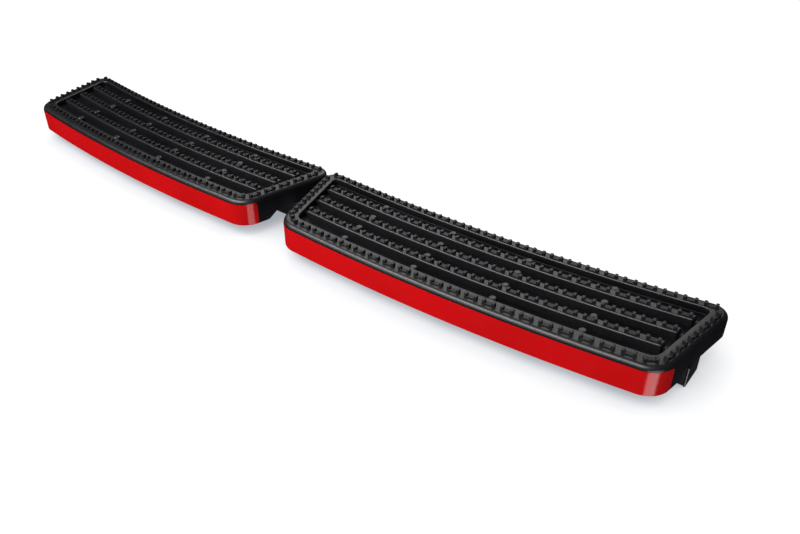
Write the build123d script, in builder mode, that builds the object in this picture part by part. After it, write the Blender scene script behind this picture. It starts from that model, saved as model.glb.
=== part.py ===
"""Van step: two bowed, moulded grip treads on one steel cross beam, in millimetres.

X runs along the step, Y from its front towards the van, Z up from the underside of the beam.
Each tread is drawn on its own plane, where y is 0 along the row of grip teeth on the front rim.
The right half is drawn, and the left half is its mirror image.
"""

import os
from math import asin, atan, cos, degrees, radians, sin, sqrt

from build123d import *

os.makedirs("parts", exist_ok=True)

# Layout of the pair
tread_centre_x = 318.0
tread_turn = 2.6
tread_datum_y = -79.667
bow_radius = 2760.0
end_flare = 0.215

# Outer wall and rim of a tread
rim_top = 61.0
rim_front = 13.3
rim_back = 147.3
rim_end = 281.0
rim_front_round = 35.0
rim_back_round = 21.0
rim_edge_chamfer = 5.0
wall_thickness = 5.0
hollow_front_corner = 14.0
hollow_back_corner = 15.0
front_wall_depth = 42.3
back_wall_depth = 30.0
wall_rise_start = 44.0
wall_rise_end = 60.0

# Pocket inside the rim and the ribs that stand in it
pocket_front = 11.3
pocket_back = 131.0
pocket_end = 259.6
pocket_depth = 11.0
pocket_front_corner = 7.0
pocket_back_corner = 4.0
floor_thickness = 4.0
rib_count = 3
rib_width = 12.5
rib_end_gap = 6.0
web_width = 5.0
web_height = 5.5
web_overlap = 2.0

# Grip teeth: two raised ends with a low bar between them
tooth_pitch = 25.0
tooth_length = 17.5
tooth_depth = 6.0
tooth_height = 6.0
bar_length = 9.0
bar_height = 2.6
front_teeth = 20
back_teeth = 24
back_tooth_row = 136.0
rib_tooth_inset = 5.5
rib_tooth_margin = 12.3
corner_tooth_x = 261.5
corner_tooth_y = 14.5
corner_tooth_turn = 29.0
end_teeth = 5
end_tooth_row = 270.2
end_tooth_first_y = 31.5
end_tooth_pitch = 25.0

# Pillars behind the front rim and the ribs, in stations across each tread
station_pitch = 117.8
station_count = 4
pillar_setback = 5.0
pillar_radius = 6.0
pillar_sides = 8
pillar_drop = 1.0
station_wall = 12.0

# Red front band, let into the outer wall
band_thickness = 2.5
band_top_depth = 6.7
band_end_y = 26.0
band_corner = 2.5
band_fit = 0.1

# Cross beam of rectangular tube with its end plugs
beam_length = 1217.0
beam_depth = 40.0
beam_height = 30.0
beam_wall = 3.0
beam_corner = 2.0
beam_setback = 75.5
cap_thickness = 3.0
plug_length = 16.0
plug_fit = 0.15

# Flat straps between the beam and the treads
strap_thickness = 3.0
strap_width = 26.0
strap_end_margin = 9.0

# Chassis brackets of steel angle with slots for the van's bolts, and their gussets
bracket_x = 400.0
bracket_width = 110.0
bracket_plate = 5.0
bracket_reach = 48.0
slot_spacing = 60.0
slot_width = 11.0
slot_length = 25.0
slot_setback = 28.0
gusset_thickness = 4.0
gusset_reach = 34.0
gusset_height = 20.0

# Heights and places worked out from the sizes above
floor_top = rim_top - pocket_depth
floor_under = floor_top - floor_thickness
wall_bottom = rim_top - front_wall_depth
back_wall_bottom = rim_top - back_wall_depth
band_height = front_wall_depth - band_top_depth
strap_top = beam_height + strap_thickness
trough_width = (pocket_back - pocket_front - rib_count * rib_width) / (rib_count + 1)
rib_fronts = [pocket_front + trough_width + k * (rib_width + trough_width) for k in range(rib_count)]
pillar_rows = [pillar_setback + edge for edge in [pocket_front] + [front + rib_width for front in rib_fronts]]
stations = [(k - (station_count - 1) / 2) * station_pitch for k in range(station_count)]
flare_angle = degrees(atan(end_flare))
beam_front = tread_datum_y + beam_setback
beam_back = beam_front + beam_depth
reach_past = rim_end + rim_back
turn = radians(tread_turn)
right_plane = Plane(
    origin=(tread_centre_x, tread_datum_y, 0), x_dir=(cos(turn), sin(turn), 0), z_dir=(0, 0, 1)
)
right_section = Plane(origin=right_plane.origin, x_dir=right_plane.y_dir, z_dir=right_plane.x_dir)


def bowed(row_y, x):
    """Depth at x of a row that bows forward in the middle."""
    return row_y + bow_radius - sqrt(bow_radius**2 - x**2)


def row_corner(row_y, end_x):
    """Point where a bowed row meets the flared end line that crosses y = 0 at end_x."""
    centre_y = row_y + bow_radius
    square = end_flare**2 + 1
    half = centre_y - end_x * end_flare
    rest = end_x**2 + centre_y**2 - bow_radius**2
    y = (half - sqrt(half**2 - square * rest)) / square
    return end_x + end_flare * y, y


def bowed_outline(height, front_y, back_y, end_x, front_corner=0.0, back_corner=0.0, ease=fillet):
    """Face between two bowed rows and two flared ends, with its corners rounded or cut off."""
    front_x, front_end_y = row_corner(front_y, end_x)
    back_x, back_end_y = row_corner(back_y, end_x)
    with BuildSketch(right_plane.offset(height)) as outline:
        with BuildLine():
            ThreePointArc((-front_x, front_end_y), (0, front_y), (front_x, front_end_y))
            Line((front_x, front_end_y), (back_x, back_end_y))
            ThreePointArc((back_x, back_end_y), (0, back_y), (-back_x, back_end_y))
            Line((-back_x, back_end_y), (-front_x, front_end_y))
        make_face()
        if front_corner:
            ease(outline.vertices().group_by(Axis.Y)[0], front_corner)
        if back_corner:
            ease(outline.vertices().group_by(Axis.Y)[-1], back_corner)
    return outline.sketch


def wall_outline(inset):
    """Outline of the tread's outer wall at its foot, moved in by inset."""
    return bowed_outline(
        wall_bottom,
        inset - rim_front,
        rim_back - inset,
        rim_end - inset * sqrt(1 + end_flare**2),
        rim_front_round - inset,
        rim_back_round - inset,
    )


def band_body(thickness, grow, corner=0.0):
    """Strip along the foot of the front wall and round both front corners."""
    with BuildPart() as band:
        extrude(wall_outline(0.0), amount=band_height + grow)
        extrude(wall_outline(thickness), amount=band_height + grow, mode=Mode.SUBTRACT)
        with BuildSketch(right_section) as keep:
            with Locations((band_end_y + grow, wall_bottom)):
                Rectangle(reach_past, band_height + grow, align=(Align.MAX, Align.MIN))
            if corner:
                chamfer(keep.vertices().group_by(Axis.X)[-1], corner)
        extrude(amount=reach_past, both=True, mode=Mode.INTERSECT)
    return band.part


def row_teeth(row_y, reach, gaps):
    """Places of the teeth along a bowed row, from -reach to reach."""
    places = []
    for k in range(gaps + 1):
        x = reach * (2 * k / gaps - 1)
        places.append(Location((x, bowed(row_y, x), rim_top), (0, 0, degrees(asin(x / bow_radius)))))
    return places


def tooth_places():
    """Places of all grip teeth on a tread: front and back rim, corners, end rims and ribs."""
    places = []
    for row_y, count in ((0.0, front_teeth), (back_tooth_row, back_teeth)):
        places += row_teeth(row_y, (count - 1) * tooth_pitch / 2, count - 1)
    for side in (-1, 1):
        corner = (side * corner_tooth_x, corner_tooth_y, rim_top)
        places.append(Location(corner, (0, 0, side * corner_tooth_turn)))
        for k in range(end_teeth):
            y = end_tooth_first_y + k * end_tooth_pitch
            x = end_tooth_row + end_flare * y
            places.append(Location((side * x, y, rim_top), (0, 0, 90 - side * flare_angle)))
    for front in rib_fronts:
        row_y = front + rib_tooth_inset
        reach = row_corner(row_y, pocket_end - rib_end_gap)[0] - rib_tooth_margin
        places += row_teeth(row_y, reach, round(2 * reach / tooth_pitch))
    return places


def export_pair(right_part, name):
    """Writes a piece of the right half, and its mirror image for the left half."""
    right_part.label = f"right_{name}"
    export_step(right_part, f"parts/right_{name}.step")
    with BuildPart() as left:
        mirror(right_part, about=Plane.YZ)
    left.part.label = f"left_{name}"
    export_step(left.part, f"parts/left_{name}.step")


# One grip tooth, standing on its origin
with BuildPart() as tooth:
    with BuildSketch(Plane.XZ.offset(-tooth_depth / 2)):
        with BuildLine():
            Polyline(
                (-tooth_length / 2, 0),
                (tooth_length / 2, 0),
                (tooth_length / 2, tooth_height),
                (bar_length / 2, bar_height),
                (-bar_length / 2, bar_height),
                (-tooth_length / 2, tooth_height),
                close=True,
            )
        make_face()
    extrude(amount=tooth_depth)

# Tread: one moulding with rim, ribs, grip teeth, pillars and a hollow underside
with BuildPart() as tread:
    extrude(wall_outline(0.0), amount=front_wall_depth)
    chamfer(tread.faces().sort_by(Axis.Z)[-1].edges(), rim_edge_chamfer)
    hollow = bowed_outline(
        wall_bottom,
        wall_thickness - rim_front,
        rim_back - wall_thickness,
        rim_end - wall_thickness * sqrt(1 + end_flare**2),
        hollow_front_corner,
        hollow_back_corner,
        ease=chamfer,
    )
    extrude(hollow, amount=floor_under - wall_bottom, mode=Mode.SUBTRACT)

    # Station walls under the floor, which sit on the straps
    with BuildSketch(right_plane.offset(floor_under)):
        for station_x in stations:
            wall_front = bowed(-rim_front, station_x) + wall_thickness / 2
            wall_back = bowed(rim_back, station_x) - wall_thickness / 2
            with Locations((station_x, (wall_front + wall_back) / 2)):
                Rectangle(station_wall, wall_back - wall_front)
    extrude(amount=strap_top - floor_under)

    # Lower edge, which rises behind the front wall to pass over the beam
    with BuildSketch(right_section):
        with BuildLine():
            Polyline(
                (wall_rise_start, 0),
                (wall_rise_start, wall_bottom),
                (wall_rise_end, back_wall_bottom),
                (reach_past, back_wall_bottom),
                (reach_past, 0),
                close=True,
            )
        make_face()
    extrude(amount=reach_past, both=True, mode=Mode.SUBTRACT)
    add(band_body(band_thickness + band_fit, band_fit), mode=Mode.SUBTRACT)

    # Pocket, with ribs standing in it and low webs from the ribs to the end rims
    pocket = bowed_outline(
        floor_top,
        pocket_front,
        pocket_back,
        pocket_end,
        pocket_front_corner,
        pocket_back_corner,
        ease=chamfer,
    )
    extrude(pocket, amount=pocket_depth, mode=Mode.SUBTRACT)
    for rib_front in rib_fronts:
        rib = bowed_outline(floor_top, rib_front, rib_front + rib_width, pocket_end - rib_end_gap)
        extrude(rib, amount=pocket_depth)
        web_x, web_y = row_corner(rib_front + rib_width / 2, pocket_end - rib_end_gap / 2)
        with BuildSketch(right_plane.offset(floor_top)):
            for side in (-1, 1):
                with Locations(Location((side * web_x, web_y, 0), (0, 0, -side * flare_angle))):
                    Rectangle(rib_end_gap + 2 * web_overlap, web_width)
        extrude(amount=web_height)
    with BuildSketch(right_plane.offset(floor_top)):
        with Locations(*[(x, bowed(row, x)) for x in stations for row in pillar_rows]):
            RegularPolygon(pillar_radius, pillar_sides)
    extrude(amount=pocket_depth - pillar_drop)

    with Locations(*[right_plane.location * place for place in tooth_places()]):
        add(tooth.part)
export_pair(tread.part, "tread")

# Red band: a thin strip in the recess of the front wall
export_pair(band_body(band_thickness, 0.0, band_corner), "front_band")

# Cross beam: one length of rectangular tube under both treads
with BuildPart() as cross_beam:
    with BuildSketch(Plane.YZ.offset(-beam_length / 2)) as tube:
        with Locations((beam_front + beam_depth / 2, beam_height / 2)):
            Rectangle(beam_depth, beam_height)
            chamfer(tube.vertices(), beam_corner)
            Rectangle(beam_depth - 2 * beam_wall, beam_height - 2 * beam_wall, mode=Mode.SUBTRACT)
    extrude(amount=beam_length)
cross_beam.part.label = "cross_beam"
export_step(cross_beam.part, "parts/cross_beam.step")

# End plug: a cover plate on the tube's end with a plug inside it
with BuildPart() as end_cap:
    with BuildSketch(Plane.YZ.offset(beam_length / 2)) as cover:
        with Locations((beam_front + beam_depth / 2, beam_height / 2)):
            Rectangle(beam_depth, beam_height)
            chamfer(cover.vertices(), beam_corner)
    extrude(amount=cap_thickness)
    plug_gap = 2 * (beam_wall + plug_fit)
    with BuildSketch(Plane.YZ.offset(beam_length / 2)):
        with Locations((beam_front + beam_depth / 2, beam_height / 2)):
            Rectangle(beam_depth - plug_gap, beam_height - plug_gap)
    extrude(amount=-plug_length)
export_pair(end_cap.part, "end_cap")

# Straps: flat bars across the beam, one under each station wall
for number, station_x in enumerate(stations, start=1):
    strap_front = bowed(pillar_rows[0], station_x) - strap_end_margin
    strap_back = bowed(pillar_rows[-1], station_x) + strap_end_margin
    with BuildPart() as strap:
        with BuildSketch(right_plane.offset(beam_height)):
            with Locations((station_x, (strap_front + strap_back) / 2)):
                Rectangle(strap_width, strap_back - strap_front)
        extrude(amount=strap_thickness)
    export_pair(strap.part, f"strap_{number}")

# Chassis bracket: a length of steel angle on the back of the beam, with two slots in its foot
with BuildPart() as bracket:
    with BuildSketch(Plane.YZ.offset(bracket_x - bracket_width / 2)):
        with Locations((beam_back, 0)):
            Rectangle(bracket_reach, beam_height, align=Align.MIN)
        with Locations((beam_back + bracket_plate, bracket_plate)):
            Rectangle(bracket_reach, beam_height, align=Align.MIN, mode=Mode.SUBTRACT)
    extrude(amount=bracket_width)
    with BuildSketch():
        with Locations((bracket_x, beam_back + slot_setback)):
            with GridLocations(slot_spacing, 0, 2, 1):
                SlotOverall(slot_length, slot_width)
    extrude(amount=bracket_plate, mode=Mode.SUBTRACT)
export_pair(bracket.part, "bracket")

# Gussets: three-sided plates in the corner at both sides of the bracket
gusset_foot = beam_back + bracket_plate
gusset_sides = {
    "inner": bracket_x - bracket_width / 2,
    "outer": bracket_x + bracket_width / 2 - gusset_thickness,
}
for side_name, gusset_x in gusset_sides.items():
    with BuildPart() as gusset:
        with BuildSketch(Plane.YZ.offset(gusset_x)):
            with BuildLine():
                Polyline(
                    (gusset_foot, bracket_plate),
                    (gusset_foot + gusset_reach, bracket_plate),
                    (gusset_foot, bracket_plate + gusset_height),
                    close=True,
                )
            make_face()
        extrude(amount=gusset_thickness)
    export_pair(gusset.part, f"{side_name}_gusset")
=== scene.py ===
"""Looks of the van step: two bowed black grip treads with red front bands on a steel beam.

Lengths are written in millimetres and turned into metres where a mesh is made.
"""

from math import asin, atan, cos, pi, sin, sqrt, tan

import bmesh
import bpy
from mathutils import Matrix, Vector


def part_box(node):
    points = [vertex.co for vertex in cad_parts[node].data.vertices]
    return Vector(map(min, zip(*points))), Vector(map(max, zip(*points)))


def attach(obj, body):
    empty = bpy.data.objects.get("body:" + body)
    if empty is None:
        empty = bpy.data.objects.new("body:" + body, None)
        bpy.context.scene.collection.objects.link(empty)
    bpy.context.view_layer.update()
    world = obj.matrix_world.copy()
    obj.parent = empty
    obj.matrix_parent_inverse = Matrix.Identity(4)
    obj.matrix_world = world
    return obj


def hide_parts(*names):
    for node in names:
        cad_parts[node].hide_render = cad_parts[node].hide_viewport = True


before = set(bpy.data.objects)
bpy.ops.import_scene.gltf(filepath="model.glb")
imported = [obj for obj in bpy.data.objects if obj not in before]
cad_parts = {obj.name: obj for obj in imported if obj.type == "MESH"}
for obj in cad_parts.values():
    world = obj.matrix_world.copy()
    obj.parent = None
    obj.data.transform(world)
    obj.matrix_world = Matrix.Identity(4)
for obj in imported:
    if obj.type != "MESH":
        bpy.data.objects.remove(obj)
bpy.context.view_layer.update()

# Treads: two bowed plastic mouldings, each with a rounded rim around a sunken floor.
# The outline is two bowed rows and two flared ends, with its corners rounded.
# Each tread is screwed down on four straps that lie across the beam.
MM = 0.001
TREAD_CENTRE_X = 318.0
TREAD_DATUM_Y = -79.667
TREAD_TURN = 2.6 * pi / 180
BOW_RADIUS = 2760.0
END_FLARE = 0.215
FLARE_STRETCH = sqrt(1 + END_FLARE**2)
RIM_TOP = 61.0
RIM_FRONT, RIM_BACK, RIM_END = 13.3, 147.3, 281.0
RIM_FRONT_ROUND, RIM_BACK_ROUND = 35.0, 21.0
RIM_EDGE_ROUND = 6.5
WALL = 5.0
WALL_BOTTOM, BACK_WALL_BOTTOM, FOOT_ROUND = 18.7, 31.0, 0.6
RISE_START, RISE_END = 44.0, 60.0
POCKET_FRONT, POCKET_BACK, POCKET_END = 11.3, 131.0, 259.6
POCKET_FRONT_ROUND, POCKET_BACK_ROUND = 14.0, 8.0
POCKET_EDGE_ROUND = 2.0
FLOOR_TOP, FLOOR_UNDER = 50.0, 46.0
FLOOR_ROUND = 1.6
ROOT_DEPTH = 1.0
RIB_COUNT, RIB_WIDTH, RIB_END_GAP = 3, 12.5, 6.0
RIB_CORNER_ROUND, RIB_EDGE_ROUND = 3.0, 2.2
WEB_WIDTH, WEB_HEIGHT, WEB_OVERLAP, WEB_EDGE_ROUND = 5.0, 5.5, 2.0, 1.2
STATION_PITCH, STATION_COUNT = 117.8, 4
PILLAR_SETBACK, PILLAR_RADIUS, PILLAR_TOP = 5.0, 6.0, 60.0
PILLAR_EDGE_ROUND, PILLAR_SIDES = 3.0, 32
STATION_WALL, STRAP_TOP = 12.0, 33.0
# Depths below the rim top over which the moulding's shine falls from the rubbed top to a duller value,
# painted shade for the recesses.
TOP_SHINE_DEPTH, SHADED_LOW_SHINE_DEPTH = 2.0, 9.0
ROW_POINTS, CORNER_POINTS, END_POINTS = 56, 12, 18
ROUND_STEPS = 6

TROUGH = (POCKET_BACK - POCKET_FRONT - RIB_COUNT * RIB_WIDTH) / (RIB_COUNT + 1)
RIB_FRONTS = [POCKET_FRONT + TROUGH + k * (RIB_WIDTH + TROUGH) for k in range(RIB_COUNT)]
PILLAR_ROWS = [PILLAR_SETBACK + edge for edge in [POCKET_FRONT] + [y + RIB_WIDTH for y in RIB_FRONTS]]
STATIONS = [(k - (STATION_COUNT - 1) / 2) * STATION_PITCH for k in range(STATION_COUNT)]


def bowed(row_y, x):
    """Depth at x of a row that bows forward in the middle."""
    return row_y + BOW_RADIUS - sqrt(BOW_RADIUS**2 - x**2)


def row_corner(row_y, end_x):
    """Point where a bowed row meets the flared end line that crosses y = 0 at end_x."""
    centre_y = row_y + BOW_RADIUS
    half = centre_y - end_x * END_FLARE
    rest = end_x**2 + centre_y**2 - BOW_RADIUS**2
    y = (half - sqrt(half**2 - FLARE_STRETCH**2 * rest)) / FLARE_STRETCH**2
    return Vector((end_x + END_FLARE * y, y))


def rounded_corner(corner, into, out, radius):
    """Points of the arc that rounds a corner, between the lines along into and out."""
    into, out = into.normalized(), out.normalized()
    turn = into.angle(out)
    start = corner - into * radius * tan(turn / 2)
    side = Vector((-into.y, into.x))
    centre = start + side * radius
    points = []
    for k in range(CORNER_POINTS + 1):
        angle = turn * k / CORNER_POINTS
        points.append(centre + radius * (into * sin(angle) - side * cos(angle)))
    return points


def half_outline(front_y, back_y, end_x, front_round, back_round):
    """Right half of a bowed outline, from the middle of its front row to that of its back row."""
    front = row_corner(front_y, end_x)
    back = row_corner(back_y, end_x)
    end = Vector((END_FLARE, 1.0))
    front_arc = rounded_corner(front, Vector((sqrt(BOW_RADIUS**2 - front.x**2), front.x)), end, front_round)
    back_arc = rounded_corner(back, end, Vector((-sqrt(BOW_RADIUS**2 - back.x**2), -back.x)), back_round)
    half_row = ROW_POINTS // 2
    points = []
    for k in range(half_row):
        x = front_arc[0].x * k / half_row
        points.append(Vector((x, bowed(front_y, x))))
    points += front_arc
    for k in range(1, END_POINTS):
        points.append(front_arc[-1].lerp(back_arc[0], k / END_POINTS))
    points += back_arc
    for k in range(half_row - 1, -1, -1):
        x = back_arc[-1].x * k / half_row
        points.append(Vector((x, bowed(back_y, x))))
    return points


def outline(front_y, back_y, end_x, front_round, back_round):
    """Closed bowed outline, counted anticlockwise from the middle of its front row."""
    right = half_outline(front_y, back_y, end_x, front_round, back_round)
    left = [Vector((-p.x, p.y)) for p in reversed(right[1:-1])]
    return right + left


def wall_outline(inset):
    """Outer wall's outline, moved in by inset."""
    return outline(
        inset - RIM_FRONT,
        RIM_BACK - inset,
        RIM_END - inset * FLARE_STRETCH,
        RIM_FRONT_ROUND - inset,
        RIM_BACK_ROUND - inset,
    )


def pocket_outline(grow):
    """Pocket's outline, moved out by grow."""
    return outline(
        POCKET_FRONT - grow,
        POCKET_BACK + grow,
        POCKET_END + grow * FLARE_STRETCH,
        POCKET_FRONT_ROUND + grow,
        POCKET_BACK_ROUND + grow,
    )


def rib_outline(rib_front, inset):
    """Outline of a rib, moved in by inset."""
    return outline(
        rib_front + inset,
        rib_front + RIB_WIDTH - inset,
        POCKET_END - RIB_END_GAP - inset * FLARE_STRETCH,
        RIB_CORNER_ROUND - inset,
        RIB_CORNER_ROUND - inset,
    )


def foot_height(y):
    """Height of the outer wall's lower edge, which rises behind the front."""
    share = min(max((y - RISE_START) / (RISE_END - RISE_START), 0.0), 1.0)
    return WALL_BOTTOM + (BACK_WALL_BOTTOM - WALL_BOTTOM) * share


def unit_ring(sides):
    """Corners of a regular shape of radius 1, counted anticlockwise."""
    return [Vector((cos(2 * pi * k / sides), sin(2 * pi * k / sides))) for k in range(sides)]


def at_height(points, z):
    """The outline's points at one height."""
    return [Vector((p.x, p.y, z)) for p in points]


def on_foot(points, rise):
    """The outline's points a little above the wall's lower edge."""
    return [Vector((p.x, p.y, foot_height(p.y) + rise)) for p in points]


def add_loops(mesh, loops, close_first=False, close_last=False):
    """Skins rings of points that have equal counts, and closes the ends that are asked for."""
    rings = [[mesh.verts.new(p) for p in loop] for loop in loops]
    for low, high in zip(rings, rings[1:]):
        for k in range(len(low)):
            n = (k + 1) % len(low)
            mesh.faces.new((low[k], low[n], high[n], high[k]))
    if close_first:
        mesh.faces.new(list(reversed(rings[0])))
    if close_last:
        mesh.faces.new(rings[-1])


def add_block(mesh, centre, size, turn=0.0, edge_round=0.5):
    """Box of size (x, y, z) that stands on centre, turned about the upright axis, with rounded edges."""
    place = Matrix.Translation(Vector(centre) + Vector((0, 0, size[2] / 2))) @ Matrix.Rotation(turn, 4, "Z")
    corners = bmesh.ops.create_cube(mesh, size=1.0, matrix=place @ Matrix.Diagonal((*size, 1.0)))["verts"]
    edges = {edge for corner in corners for edge in corner.link_edges}
    bmesh.ops.bevel(mesh, geom=list(edges), offset=edge_round, segments=2, profile=0.5, affect="EDGES")


def flatten_faces(piece):
    """Gives a linked object normals that keep its broad faces flat and leave the shading to its rounds."""
    rough_data, name = piece.data, piece.data.name
    piece.modifiers.new("flat_faces", "WEIGHTED_NORMAL").keep_sharp = True
    graph = bpy.context.evaluated_depsgraph_get()
    piece.data = bpy.data.meshes.new_from_object(piece.evaluated_get(graph))
    piece.modifiers.clear()
    bpy.data.meshes.remove(rough_data)
    piece.data.name = name


def to_piece(name, mesh, material, side=1, smooth_below=35):
    """Places a mesh drawn on the tread's own plane, mirrored for the left side, as an object."""
    place = Matrix.Translation((TREAD_CENTRE_X, TREAD_DATUM_Y, 0)) @ Matrix.Rotation(TREAD_TURN, 4, "Z")
    mesh.transform(Matrix.Scale(MM, 4) @ Matrix.Diagonal((side, 1, 1, 1)) @ place)
    if side < 0:
        bmesh.ops.reverse_faces(mesh, faces=mesh.faces)
    data = bpy.data.meshes.new(name)
    mesh.to_mesh(data)
    mesh.free()
    data.shade_smooth()
    data.set_sharp_from_angle(angle=smooth_below * pi / 180)
    data.materials.append(material)
    piece = bpy.data.objects.new(name, data)
    bpy.context.collection.objects.link(piece)
    flatten_faces(piece)
    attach(piece, "root")
    return piece


def new_material(name):
    """Empty node material, with its node tree, shader and Object coordinates."""
    material = bpy.data.materials.new(name)
    material.use_nodes = True
    nodes = material.node_tree.nodes
    shader = nodes["Principled BSDF"]
    coords = nodes.new("ShaderNodeTexCoord")
    return material, nodes, material.node_tree.links, shader, coords.outputs["Object"]


def noise(nodes, links, where, scale, detail=4.0):
    """Noise value of a given scale, in turns per metre."""
    node = nodes.new("ShaderNodeTexNoise")
    node.inputs["Scale"].default_value = scale
    node.inputs["Detail"].default_value = detail
    links.new(where, node.inputs["Vector"])
    return node.outputs["Fac"]


def blend_between(nodes, links, factor, low, high, start=0.35, stop=0.65):
    """Colour ramp from low to high over part of a factor's range."""
    ramp = nodes.new("ShaderNodeValToRGB")
    ramp.color_ramp.elements[0].position = start
    ramp.color_ramp.elements[0].color = (*low, 1.0)
    ramp.color_ramp.elements[1].position = stop
    ramp.color_ramp.elements[1].color = (*high, 1.0)
    links.new(factor, ramp.inputs["Fac"])
    return ramp.outputs["Color"]


def spread(nodes, links, factor, low, high):
    """Value mapped from 0..1 to low..high."""
    node = nodes.new("ShaderNodeMapRange")
    node.inputs["To Min"].default_value = low
    node.inputs["To Max"].default_value = high
    links.new(factor, node.inputs["Value"])
    return node.outputs["Result"]


def add_bump(nodes, links, shader, height, strength, distance):
    """Bump on a shader from a height value, with its distance in metres."""
    node = nodes.new("ShaderNodeBump")
    node.inputs["Strength"].default_value = strength
    node.inputs["Distance"].default_value = distance
    links.new(height, node.inputs["Height"])
    links.new(node.outputs["Normal"], shader.inputs["Normal"])


def moulded_black(name, smoothest, roughest, shaded_low_shine, top_shine):
    """Black plastic with a fine moulded grain and pale scuffs, shinier at the top where shoes rub it; the
    lower shine on the walls and in the troughs is painted shade.
    """
    material, nodes, links, shader, where = new_material(name)
    cloud = noise(nodes, links, where, 14.0)
    tone = blend_between(nodes, links, cloud, (0.0028, 0.0028, 0.0036), (0.0058, 0.0058, 0.0070))
    edge = nodes.new("ShaderNodeNewGeometry").outputs["Pointiness"]
    scuff = blend_between(nodes, links, edge, (0.0, 0.0, 0.0), (1.0, 1.0, 1.0), 0.52, 0.62)
    patch = noise(nodes, links, where, 160.0)
    wear = nodes.new("ShaderNodeMath")
    wear.operation = "MULTIPLY"
    links.new(scuff, wear.inputs[0])
    links.new(patch, wear.inputs[1])
    mix = nodes.new("ShaderNodeMix")
    mix.data_type = "RGBA"
    mix.inputs["B"].default_value = (0.030, 0.030, 0.032, 1.0)
    links.new(wear.outputs[0], mix.inputs["Factor"])
    links.new(tone, mix.inputs["A"])
    links.new(mix.outputs["Result"], shader.inputs["Base Color"])
    sheen = spread(nodes, links, noise(nodes, links, where, 60.0), smoothest, roughest)
    links.new(sheen, shader.inputs["Roughness"])
    height = nodes.new("ShaderNodeSeparateXYZ")
    links.new(where, height.inputs["Vector"])
    # Painted shade: the shine drops from the rubbed top down the walls and into the troughs, which darkens
    # the recesses.
    wear_and_shade_shine = nodes.new("ShaderNodeMapRange")
    wear_and_shade_shine.inputs["From Min"].default_value = (RIM_TOP - SHADED_LOW_SHINE_DEPTH) * MM
    wear_and_shade_shine.inputs["From Max"].default_value = (RIM_TOP - TOP_SHINE_DEPTH) * MM
    wear_and_shade_shine.inputs["To Min"].default_value = shaded_low_shine
    wear_and_shade_shine.inputs["To Max"].default_value = top_shine
    links.new(height.outputs["Z"], wear_and_shade_shine.inputs["Value"])
    links.new(wear_and_shade_shine.outputs["Result"], shader.inputs["Specular IOR Level"])
    add_bump(nodes, links, shader, noise(nodes, links, where, 900.0, 3.0), 0.12, 0.0001)
    return material


black_moulding = moulded_black("black_moulding", 0.35, 0.45, 0.10, 0.62)
for side_name, side in (("right", 1), ("left", -1)):
    mesh = bmesh.new()
    rounding = [pi / 2 * k / ROUND_STEPS for k in range(ROUND_STEPS + 1)]
    loops = [at_height(wall_outline(WALL), FLOOR_UNDER)]
    for inset, rise in ((WALL, FOOT_ROUND), (WALL - FOOT_ROUND, 0.0), (FOOT_ROUND, 0.0), (0.0, FOOT_ROUND)):
        loops.append(on_foot(wall_outline(inset), rise))
    for angle in rounding:
        inset = RIM_EDGE_ROUND * (1 - cos(angle))
        loops.append(at_height(wall_outline(inset), RIM_TOP - RIM_EDGE_ROUND * (1 - sin(angle))))
    for angle in rounding[::2]:
        grow = POCKET_EDGE_ROUND * (1 - sin(angle))
        loops.append(at_height(pocket_outline(grow), RIM_TOP - POCKET_EDGE_ROUND * (1 - cos(angle))))
    for angle in rounding[::2]:
        grow = -FLOOR_ROUND * (1 - cos(angle))
        loops.append(at_height(pocket_outline(grow), FLOOR_TOP + FLOOR_ROUND * (1 - sin(angle))))
    add_loops(mesh, loops, close_first=True, close_last=True)
    for rib_front in RIB_FRONTS:
        loops = [at_height(rib_outline(rib_front, 0.0), FLOOR_TOP - ROOT_DEPTH)]
        for angle in rounding[::2]:
            inset = RIB_EDGE_ROUND * (1 - cos(angle))
            height = RIM_TOP - RIB_EDGE_ROUND * (1 - sin(angle))
            loops.append(at_height(rib_outline(rib_front, inset), height))
        add_loops(mesh, loops, close_first=True, close_last=True)
        web = row_corner(rib_front + RIB_WIDTH / 2, POCKET_END - RIB_END_GAP / 2)
        for end in (-1, 1):
            size = (RIB_END_GAP + 2 * WEB_OVERLAP, WEB_WIDTH, WEB_HEIGHT)
            add_block(mesh, (end * web.x, web.y, FLOOR_TOP), size, -end * atan(END_FLARE), WEB_EDGE_ROUND)
    for station in STATIONS:
        front, back = bowed(WALL / 2 - RIM_FRONT, station), bowed(RIM_BACK - WALL / 2, station)
        size = (STATION_WALL, back - front, FLOOR_UNDER - STRAP_TOP)
        add_block(mesh, (station, (front + back) / 2, STRAP_TOP), size)
        for row in PILLAR_ROWS:
            centre = Vector((station, bowed(row, station)))
            ring = unit_ring(PILLAR_SIDES)
            loops = [at_height([centre + p * PILLAR_RADIUS for p in ring], FLOOR_TOP - ROOT_DEPTH)]
            for angle in rounding[::2]:
                reach = PILLAR_RADIUS - PILLAR_EDGE_ROUND * (1 - cos(angle))
                height = PILLAR_TOP - PILLAR_EDGE_ROUND * (1 - sin(angle))
                loops.append(at_height([centre + p * reach for p in ring], height))
            add_loops(mesh, loops, close_first=True, close_last=True)
    tread = to_piece(f"{side_name}_tread_moulding", mesh, black_moulding, side)
    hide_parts(f"{side_name}_tread")

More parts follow.
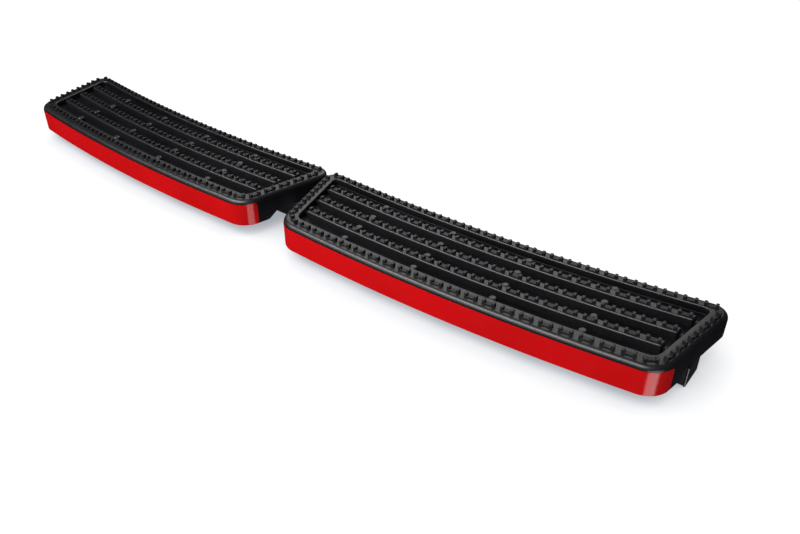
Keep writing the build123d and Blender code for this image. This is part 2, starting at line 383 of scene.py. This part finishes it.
# Grip teeth: part of each moulding, two square posts joined by a low bar.
# They stand in rows along the rim and the ribs, a pitch apart, and follow the bow.
TOOTH_PITCH, TOOTH_LENGTH, TOOTH_DEPTH = 25.0, 17.5, 6.0
POST_WIDTH, POST_HEIGHT, BAR_HEIGHT = 4.0, 4.8, 1.7
TOOTH_EDGE_ROUND, TOOTH_ROOT, TOOTH_SMOOTH_BELOW = 0.5, 1.0, 40.0 * pi / 180
FRONT_TEETH, BACK_TEETH, BACK_TOOTH_ROW = 20, 24, 136.0
RIB_TOOTH_INSET, RIB_TOOTH_MARGIN = 5.5, 12.3
CORNER_TOOTH_X, CORNER_TOOTH_Y, CORNER_TOOTH_TURN = 261.5, 14.5, 29.0 * pi / 180
END_TEETH, END_TOOTH_ROW, END_TOOTH_FIRST_Y, END_TOOTH_PITCH = 5, 270.2, 31.5, 25.0


def row_teeth(row_y, reach, gaps):
    """Places (x, y, turn) of the teeth along a bowed row, from -reach to reach."""
    places = []
    for k in range(gaps + 1):
        x = reach * (2 * k / gaps - 1)
        places.append((x, bowed(row_y, x), asin(x / BOW_RADIUS)))
    return places


def tooth_places():
    """Places of all grip teeth on a tread: rim rows, corners, ends and ribs."""
    places = row_teeth(0.0, (FRONT_TEETH - 1) * TOOTH_PITCH / 2, FRONT_TEETH - 1)
    places += row_teeth(BACK_TOOTH_ROW, (BACK_TEETH - 1) * TOOTH_PITCH / 2, BACK_TEETH - 1)
    for end in (-1, 1):
        places.append((end * CORNER_TOOTH_X, CORNER_TOOTH_Y, end * CORNER_TOOTH_TURN))
        for k in range(END_TEETH):
            y = END_TOOTH_FIRST_Y + k * END_TOOTH_PITCH
            places.append((end * (END_TOOTH_ROW + END_FLARE * y), y, pi / 2 - end * atan(END_FLARE)))
    for rib_front in RIB_FRONTS:
        row_y = rib_front + RIB_TOOTH_INSET
        reach = row_corner(row_y, POCKET_END - RIB_END_GAP).x - RIB_TOOTH_MARGIN
        places += row_teeth(row_y, reach, round(2 * reach / TOOTH_PITCH))
    return places


def scatter_tree(name):
    """Node tree that stands one shape on every point, turned by the point's own turn."""
    tree = bpy.data.node_groups.new(name, "GeometryNodeTree")
    tree.interface.new_socket("Points", in_out="INPUT", socket_type="NodeSocketGeometry")
    tree.interface.new_socket("Shape", in_out="INPUT", socket_type="NodeSocketObject")
    tree.interface.new_socket("Material", in_out="INPUT", socket_type="NodeSocketMaterial")
    tree.interface.new_socket("Geometry", in_out="OUTPUT", socket_type="NodeSocketGeometry")
    nodes, links = tree.nodes, tree.links
    given = nodes.new("NodeGroupInput").outputs
    shape = nodes.new("GeometryNodeObjectInfo")
    links.new(given["Shape"], shape.inputs["Object"])
    turn = nodes.new("GeometryNodeInputNamedAttribute")
    turn.data_type = "FLOAT"
    turn.inputs["Name"].default_value = "turn"
    upright = nodes.new("ShaderNodeCombineXYZ")
    links.new(turn.outputs["Attribute"], upright.inputs["Z"])
    stand = nodes.new("GeometryNodeInstanceOnPoints")
    links.new(given["Points"], stand.inputs["Points"])
    links.new(shape.outputs["Geometry"], stand.inputs["Instance"])
    links.new(upright.outputs["Vector"], stand.inputs["Rotation"])
    real = nodes.new("GeometryNodeRealizeInstances")
    links.new(stand.outputs["Instances"], real.inputs["Geometry"])
    paint = nodes.new("GeometryNodeSetMaterial")
    links.new(real.outputs["Geometry"], paint.inputs["Geometry"])
    links.new(given["Material"], paint.inputs["Material"])
    links.new(paint.outputs["Geometry"], nodes.new("NodeGroupOutput").inputs["Geometry"])
    return tree


def scatter(name, tree, shape, places, material, side):
    """Plain mesh object of one shape at many places (x, y, z, turn) on a tread's plane."""
    placed = Matrix.Translation((TREAD_CENTRE_X, TREAD_DATUM_Y, 0)) @ Matrix.Rotation(TREAD_TURN, 4, "Z")
    points = bpy.data.meshes.new(name + "_points")
    spots = [Matrix.Diagonal((side, 1, 1, 1)) @ placed @ Vector((x, y, z)) * MM for x, y, z, turn in places]
    points.from_pydata(spots, [], [])
    turns = points.attributes.new("turn", "FLOAT", "POINT")
    for k, place in enumerate(places):
        turns.data[k].value = side * (place[3] + TREAD_TURN)
    maker = bpy.data.objects.new(name + "_maker", points)
    bpy.context.collection.objects.link(maker)
    modifier = maker.modifiers.new("scatter", "NODES")
    modifier.node_group = tree
    sockets = {s.name: s.identifier for s in tree.interface.items_tree if s.in_out == "INPUT"}
    modifier[sockets["Shape"]] = shape
    modifier[sockets["Material"]] = material
    graph = bpy.context.evaluated_depsgraph_get()
    data = bpy.data.meshes.new_from_object(maker.evaluated_get(graph))
    data.name = name
    bpy.data.objects.remove(maker)
    piece = bpy.data.objects.new(name, data)
    bpy.context.collection.objects.link(piece)
    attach(piece, "root")
    return piece


# The teeth are the same plastic as the moulding but get a duller copy of its material, painted shade that
# keeps them darker than the rib tops.
black_teeth = moulded_black("black_teeth", 0.36, 0.46, 0.10, 0.32)
half, inner = TOOTH_LENGTH / 2, TOOTH_LENGTH / 2 - POST_WIDTH
profile = [(-half, -TOOTH_ROOT), (half, -TOOTH_ROOT), (half, POST_HEIGHT)]
profile += [(inner, POST_HEIGHT), (inner, BAR_HEIGHT)]
profile += [(-inner, BAR_HEIGHT), (-inner, POST_HEIGHT), (-half, POST_HEIGHT)]
mesh = bmesh.new()
front_face = mesh.faces.new([mesh.verts.new((x, -TOOTH_DEPTH / 2, z)) for x, z in profile])
grown = bmesh.ops.extrude_face_region(mesh, geom=[front_face])["geom"]
back_corners = [v for v in grown if isinstance(v, bmesh.types.BMVert)]
bmesh.ops.translate(mesh, verts=back_corners, vec=(0, TOOTH_DEPTH, 0))
bmesh.ops.recalc_face_normals(mesh, faces=mesh.faces)
bmesh.ops.bevel(
    mesh,
    geom=list(mesh.edges),
    offset=TOOTH_EDGE_ROUND,
    segments=2,
    profile=0.5,
    affect="EDGES",
    clamp_overlap=True,
)
mesh.transform(Matrix.Scale(MM, 4))
tooth_data = bpy.data.meshes.new("grip_tooth")
mesh.to_mesh(tooth_data)
mesh.free()
tooth_data.shade_smooth()
tooth_data.set_sharp_from_angle(angle=TOOTH_SMOOTH_BELOW)
tooth = bpy.data.objects.new("grip_tooth", tooth_data)
bpy.context.collection.objects.link(tooth)
flatten_faces(tooth)
teeth_tree = scatter_tree("scatter_teeth")
for side_name, side in (("right", 1), ("left", -1)):
    places = [(x, y, RIM_TOP, turn) for x, y, turn in tooth_places()]
    teeth = scatter(f"{side_name}_grip_teeth", teeth_tree, tooth, places, black_teeth, side)
bpy.data.objects.remove(tooth)

# Front bands: glossy red plastic strips, clipped into the front wall of each tread.
# Each wraps both front corners and ends on the end faces with rounded corners.
BAND_TOP, BAND_END_Y, BAND_CORNER = 54.3, 26.0, 4.0
BAND_PROUD, BAND_DEPTH, BAND_EDGE_ROUND, BAND_END_STEPS = 0.3, 2.0, 0.8, 8
BAND_EDGE_MIDDLE = 0.25 * BAND_EDGE_ROUND


def gloss_red(name):
    """Bright red gloss plastic with a faint ripple and a slight change of tone."""
    material, nodes, links, shader, where = new_material(name)
    deep, bright = (0.36, 0.0002, 0.0008), (0.41, 0.0004, 0.0016)
    tone = blend_between(nodes, links, noise(nodes, links, where, 9.0), deep, bright)
    links.new(tone, shader.inputs["Base Color"])
    shader.inputs["Specular IOR Level"].default_value = 0.25
    links.new(spread(nodes, links, noise(nodes, links, where, 40.0), 0.16, 0.24), shader.inputs["Roughness"])
    add_bump(nodes, links, shader, noise(nodes, links, where, 120.0, 2.0), 0.06, 0.0004)
    return material


red_band = gloss_red("red_band")
for side_name, side in (("right", 1), ("left", -1)):
    mesh = bmesh.new()
    outer = half_outline(
        -RIM_FRONT - BAND_PROUD,
        RIM_BACK,
        RIM_END + BAND_PROUD * FLARE_STRETCH,
        RIM_FRONT_ROUND,
        RIM_BACK_ROUND,
    )
    path = [p for p in outer[: ROW_POINTS // 2 + CORNER_POINTS + END_POINTS] if p.y < BAND_END_Y]
    last = path[-1]
    for k in range(1, BAND_END_STEPS + 1):
        y = last.y + (BAND_END_Y - last.y) * k / BAND_END_STEPS
        path.append(Vector((last.x + END_FLARE * (y - last.y), y)))
    path = [Vector((-p.x, p.y)) for p in reversed(path[1:])] + path
    rows = []
    for k, p in enumerate(path):
        to_end = max(0.0, p.y - (BAND_END_Y - BAND_CORNER))
        cut = BAND_CORNER - sqrt(max(BAND_CORNER**2 - to_end**2, 0.0))
        before, after = path[max(k - 1, 0)], path[min(k + 1, len(path) - 1)]
        along = (after - before).normalized()
        out = Vector((along.y, -along.x))
        low, high = WALL_BOTTOM + cut, BAND_TOP - cut
        section = []
        for depth, z in (
            (BAND_DEPTH, low),
            (BAND_EDGE_ROUND, low),
            (BAND_EDGE_MIDDLE, low + BAND_EDGE_MIDDLE),
            (0.0, low + BAND_EDGE_ROUND),
            (0.0, high - BAND_EDGE_ROUND),
            (BAND_EDGE_MIDDLE, high - BAND_EDGE_MIDDLE),
            (BAND_EDGE_ROUND, high),
            (BAND_DEPTH, high),
        ):
            spot = p - out * depth
            section.append(mesh.verts.new((spot.x, spot.y, z)))
        rows.append(section)
    for one, two in zip(rows, rows[1:]):
        for k in range(len(one)):
            n = (k + 1) % len(one)
            mesh.faces.new((one[k], two[k], two[n], one[n]))
    mesh.faces.new(rows[0])
    mesh.faces.new(list(reversed(rows[-1])))
    bmesh.ops.recalc_face_normals(mesh, faces=mesh.faces)
    band = to_piece(f"{side_name}_red_band", mesh, red_band, side)
    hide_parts(f"{side_name}_front_band")

# Steelwork: beam, straps, brackets and gussets of mild steel, welded up and powder coated black.
# The straps lie across the beam, and the brackets behind it take the bolts that hold the step to the van.


def powder_coat(name):
    """Black powder coat: satin, with orange peel and slight changes of sheen."""
    material, nodes, links, shader, where = new_material(name)
    dark, pale = (0.012, 0.012, 0.013), (0.024, 0.024, 0.026)
    tone = blend_between(nodes, links, noise(nodes, links, where, 20.0), dark, pale)
    links.new(tone, shader.inputs["Base Color"])
    links.new(spread(nodes, links, noise(nodes, links, where, 80.0), 0.30, 0.46), shader.inputs["Roughness"])
    add_bump(nodes, links, shader, noise(nodes, links, where, 420.0, 2.0), 0.12, 0.0002)
    return material


black_steel = powder_coat("black_steel")
black_plug = moulded_black("black_plug", 0.26, 0.36, 0.55, 0.55)
for node_name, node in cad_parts.items():
    material = black_plug if node_name.endswith("end_cap") else black_steel
    node.data.materials.clear()
    node.data.materials.append(material)

# End plugs: moulded plastic plugs, pushed into the beam's two ends until their heads cover the cut edge.
# Each has a rounded head as large as the tube and a narrower body that fits inside it.
PLUG_HEAD, PLUG_EDGE_ROUND = 3.0, 1.2
TUBE_WALL, PLUG_FIT = 3.0, 0.15
for side_name, side in (("left", -1), ("right", 1)):
    low, high = (Vector(corner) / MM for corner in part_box(f"{side_name}_end_cap"))
    outer_x, inner_x = (high.x, low.x) if side > 0 else (low.x, high.x)
    shoulder_x = outer_x - side * PLUG_HEAD
    middle_y, head_size = (low.y + high.y) / 2, high - low
    inset = TUBE_WALL + PLUG_FIT
    mesh = bmesh.new()
    add_block(
        mesh,
        ((outer_x + shoulder_x) / 2, middle_y, low.z),
        (PLUG_HEAD, head_size.y, head_size.z),
        edge_round=PLUG_EDGE_ROUND,
    )
    add_block(
        mesh,
        ((inner_x + shoulder_x + side * ROOT_DEPTH) / 2, middle_y, low.z + inset),
        (abs(shoulder_x - inner_x) + ROOT_DEPTH, head_size.y - 2 * inset, head_size.z - 2 * inset),
    )
    mesh.transform(Matrix.Scale(MM, 4))
    plug = bpy.data.objects.new(f"{side_name}_plug", bpy.data.meshes.new(f"{side_name}_plug"))
    mesh.to_mesh(plug.data)
    mesh.free()
    plug.data.shade_smooth()
    plug.data.materials.append(black_plug)
    bpy.context.collection.objects.link(plug)
    flatten_faces(plug)
    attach(plug, "root")
    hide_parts(f"{side_name}_end_cap")

# Strap screws: small hexagon-headed steel screws with a flange, driven up through the straps into the treads.
# Three stand under each strap, clear of the beam. They are blackened like the steelwork.
SCREW_ROWS = (0, 1, 3)
SCREW_FLANGE, SCREW_FLANGE_THICK, SCREW_ACROSS, SCREW_HEAD = 11.0, 1.2, 8.0, 4.0
SCREW_FLANGE_SIDES, SCREW_CHAMFER, SCREW_SEAT = 24, 0.1, 0.2
STRAP_UNDER = 30.0
mesh = bmesh.new()
for radius, corners, top, bottom in (
    (SCREW_FLANGE / 2, SCREW_FLANGE_SIDES, SCREW_SEAT, -SCREW_FLANGE_THICK),
    (SCREW_ACROSS / sqrt(3), 6, -SCREW_FLANGE_THICK / 2, -SCREW_HEAD),
):
    ring = [p * radius for p in unit_ring(corners)]
    loops = [[p * (1 - SCREW_CHAMFER) for p in ring], ring, ring]
    heights = (bottom, bottom + SCREW_CHAMFER * radius, top)
    add_loops(mesh, [at_height(p, z) for p, z in zip(loops, heights)], close_first=True, close_last=True)
mesh.transform(Matrix.Scale(MM, 4))
screw_data = bpy.data.meshes.new("strap_screw")
mesh.to_mesh(screw_data)
mesh.free()
screw = bpy.data.objects.new("strap_screw", screw_data)
screw_tree = scatter_tree("scatter_screws")
for side_name, side in (("right", 1), ("left", -1)):
    places = [(x, bowed(PILLAR_ROWS[row], x), STRAP_UNDER, 0.0) for x in STATIONS for row in SCREW_ROWS]
    screws = scatter(f"{side_name}_strap_screws", screw_tree, screw, places, black_steel, side)
bpy.data.objects.remove(screw)

# Floor, light and camera: a white studio floor under soft boxes, seen from the photograph's place.
# The floor is painted matt and left out of reflections, and a painted contact shadow dims its glow where the
# step closes it in.
FLOOR_REACH, SHADOW_REACH = 9.0, 0.085
floor_mesh = bpy.data.meshes.new("floor")
floor_corners = [(x * FLOOR_REACH, y * FLOOR_REACH, 0) for x, y in ((-1, -1), (1, -1), (1, 1), (-1, 1))]
floor_mesh.from_pydata(floor_corners, [], [(0, 1, 2, 3)])
floor = bpy.data.objects.new("floor", floor_mesh)
bpy.context.collection.objects.link(floor)
material, nodes, links, shader, where = new_material("studio_floor")
shader.inputs["Roughness"].default_value = 0.9
shader.inputs["Emission Strength"].default_value = 0.96
links.new(
    blend_between(nodes, links, noise(nodes, links, where, 1.5), (0.09, 0.09, 0.10), (0.11, 0.11, 0.12)),
    shader.inputs["Base Color"],
)
# Painted shadow: ambient occlusion dims the floor's glow to a blue grey near the step.
painted_contact_shadow = nodes.new("ShaderNodeAmbientOcclusion")
painted_contact_shadow.inputs["Distance"].default_value = SHADOW_REACH
links.new(
    blend_between(nodes, links, painted_contact_shadow.outputs["AO"], (0.30, 0.33, 0.37), (1.0, 1.0, 1.0), 0.05, 0.95),
    shader.inputs["Emission Color"],
)
floor_mesh.materials.append(material)
floor.visible_glossy = False

world = bpy.data.worlds.new("studio")
bpy.context.scene.world = world
world.use_nodes = True
nodes, links = world.node_tree.nodes, world.node_tree.links
ambient = nodes["Background"]
ambient.inputs["Color"].default_value = (1.0, 1.0, 1.0, 1.0)
ambient.inputs["Strength"].default_value = 0.22
backdrop = nodes.new("ShaderNodeBackground")
backdrop.inputs["Color"].default_value = (1.0, 1.0, 1.0, 1.0)
dark = nodes.new("ShaderNodeBackground")
dark.inputs["Color"].default_value = (0.02, 0.02, 0.025, 1.0)
seen = nodes.new("ShaderNodeLightPath")
mirrored = nodes.new("ShaderNodeMixShader")
links.new(seen.outputs["Is Glossy Ray"], mirrored.inputs["Fac"])
links.new(ambient.outputs["Background"], mirrored.inputs[1])
links.new(dark.outputs["Background"], mirrored.inputs[2])
choose = nodes.new("ShaderNodeMixShader")
links.new(seen.outputs["Is Camera Ray"], choose.inputs["Fac"])
links.new(mirrored.outputs["Shader"], choose.inputs[1])
links.new(backdrop.outputs["Background"], choose.inputs[2])
links.new(choose.outputs["Shader"], nodes["World Output"].inputs["Surface"])


def soft_light(name, place, aim, size, power):
    """Softbox of size (across, upright) at place, turned to aim."""
    lamp = bpy.data.lights.new(name, "AREA")
    lamp.shape = "RECTANGLE"
    lamp.size, lamp.size_y = size
    lamp.energy = power
    light = bpy.data.objects.new(name, lamp)
    light.location = place
    light.rotation_euler = (Vector(aim) - Vector(place)).to_track_quat("-Z", "Y").to_euler()
    bpy.context.collection.objects.link(light)


soft_light("key", (-0.9, 1.7, 1.6), (0.0, 0.0, 0.0), (2.4, 1.2), 22.0)
soft_light("fill", (-0.4, -1.3, 1.9), (0.0, 0.0, 0.03), (3.2, 0.8), 90.0)
soft_light("front", (-0.7, -2.1, 0.9), (0.0, 0.0, 0.03), (2.4, 1.0), 17.0)
# The corner card stands below the floor's level, where the rounded corners of the red bands mirror it.
soft_light("corner_card", (1.75, -0.95, -1.7), (0.3, -0.08, -1.7), (1.1, 3.2), 66.0)

CAMERA_PLACE = (0.7588, (TREAD_DATUM_Y - 674.2) * MM, 0.6540)
CAMERA_TURN = (0.9604, 0.0, 0.6494)
LENS_LENGTH, SENSOR_WIDTH = 35.73, 36.0
lens = bpy.data.cameras.new("camera")
lens.lens = LENS_LENGTH
lens.sensor_width = SENSOR_WIDTH
camera = bpy.data.objects.new("camera", lens)
camera.location = CAMERA_PLACE
camera.rotation_euler = CAMERA_TURN
bpy.context.collection.objects.link(camera)
bpy.context.scene.camera = camera
bpy.context.scene.view_settings.view_transform = "Standard"
